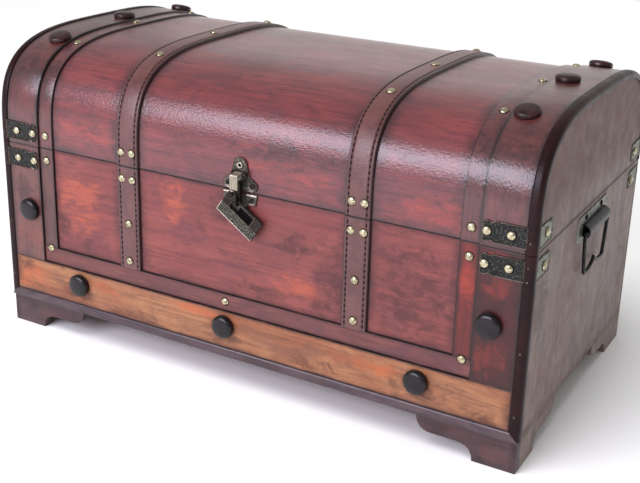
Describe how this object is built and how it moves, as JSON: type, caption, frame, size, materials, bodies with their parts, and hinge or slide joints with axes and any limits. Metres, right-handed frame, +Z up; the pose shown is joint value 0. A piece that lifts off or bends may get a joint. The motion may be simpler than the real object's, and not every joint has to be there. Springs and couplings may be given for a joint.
{
  "type": "sea chest",
  "caption": "Dome-topped wooden sea chest with hinged lid, bracket feet, leather straps, turned knobs, corner plates, hasp with padlock and drop end handles.",
  "frame": {"origin": "on the floor under the middle of the whole chest: mid width between the end handles, and midway between the hasp tongue's face and the backs of the hinges", "axes": "+X along the chest's width to its right end as seen from the front, +Y from the front to the back, +Z up"},
  "size_m": [0.616, 0.3448, 0.3321],
  "materials": {
    "mahogany": "semi-gloss red-brown stain, blotched, with fine grain along the chest",
    "inside_wood": "flat red-brown stain",
    "dark_edge": "near-black semi-gloss stain",
    "tan_band": "semi-gloss orange-tan stain with darker blotches",
    "end_wood": "semi-gloss grey-brown stain",
    "foot_wood": "semi-gloss dark red-brown stain",
    "leather": "dark brown with two rows of stitching",
    "knob_wood": "satin charcoal",
    "bronze": "dark antique bronze",
    "aged_bronze": "antique bronze with bright rubbed edges",
    "black_iron": "satin black with rubbed edges",
    "brass": "pale antique brass"
  },
  "bodies": {
    "box": {"front_board": "mahogany", "cross_strip": "mahogany", "back_board": "inside_wood", "floor_board": "inside_wood", "base_moulding": "dark_edge", "bottom_band": "tan_band", "left_end_band": "mahogany", "left_narrow_strip": "mahogany", "left_corner_bead": "dark_edge", "left_end_board": "end_wood", "left_front_foot": "foot_wood", "left_strap": "leather", "left_bottom_knob": "knob_wood", "left_side_knob": "knob_wood", "left_front_plate": "bronze", "left_side_plate": "bronze", "left_handle_plate": "black_iron", "left_hinge_box_leaf": "brass", "right_end_band": "mahogany", "right_narrow_strip": "mahogany", "right_corner_bead": "dark_edge", "right_end_board": "end_wood", "right_front_foot": "foot_wood", "right_strap": "leather", "right_bottom_knob": "knob_wood", "right_side_knob": "knob_wood", "right_front_plate": "bronze", "right_side_plate": "bronze", "right_handle_plate": "black_iron", "right_hinge_box_leaf": "brass", "middle_bottom_knob": "knob_wood", "hasp_staple_plate": "aged_bronze"},
    "lid": {"lid_skin": "mahogany", "left_lid_end_band": "mahogany", "left_lid_narrow_strip": "mahogany", "left_lid_arch_bead": "dark_edge", "left_lid_end": "end_wood", "left_lid_strap": "leather", "left_lid_front_knob": "knob_wood", "left_lid_top_knob": "knob_wood", "left_lid_rear_knob": "knob_wood", "left_lid_front_plate": "bronze", "left_lid_side_plate": "bronze", "left_hinge_lid_leaf": "brass", "right_lid_end_band": "mahogany", "right_lid_narrow_strip": "mahogany", "right_lid_arch_bead": "dark_edge", "right_lid_end": "end_wood", "right_lid_strap": "leather", "right_lid_front_knob": "knob_wood", "right_lid_top_knob": "knob_wood", "right_lid_rear_knob": "knob_wood", "right_lid_front_plate": "bronze", "right_lid_side_plate": "bronze", "right_hinge_lid_leaf": "brass", "hasp_upper_plate": "aged_bronze"},
    "tongue": {"hasp_tongue": "aged_bronze"},
    "padlock": {"padlock": "aged_bronze"},
    "left_bail": {"left_bail": "black_iron"},
    "right_bail": {"right_bail": "black_iron"}
  },
  "joints": [
    {"name": "lid_hinge", "type": "hinge", "parent": "box", "child": "lid", "pos_m": [0, 0.1696, 0.211], "axis": [-1, 0, 0], "range_deg": [0, 95]},
    {"name": "tongue_hinge", "type": "hinge", "parent": "lid", "child": "tongue", "pos_m": [0.004, -0.1636, 0.229], "axis": [-1, 0, 0], "range_deg": [0, 90]},
    {"name": "padlock_swing", "type": "hinge", "parent": "box", "child": "padlock", "pos_m": [0.004, -0.16605, 0.1986], "axis": [0, 1, 0], "range_deg": [-30, 55]},
    {"name": "left_bail_swing", "type": "hinge", "parent": "box", "child": "left_bail", "pos_m": [-0.3045, 0.0016, 0.191], "axis": [0, 1, 0], "range_deg": [0, 110]},
    {"name": "right_bail_swing", "type": "hinge", "parent": "box", "child": "right_bail", "pos_m": [0.3045, 0.0016, 0.191], "axis": [0, -1, 0], "range_deg": [0, 110]}
  ]
}
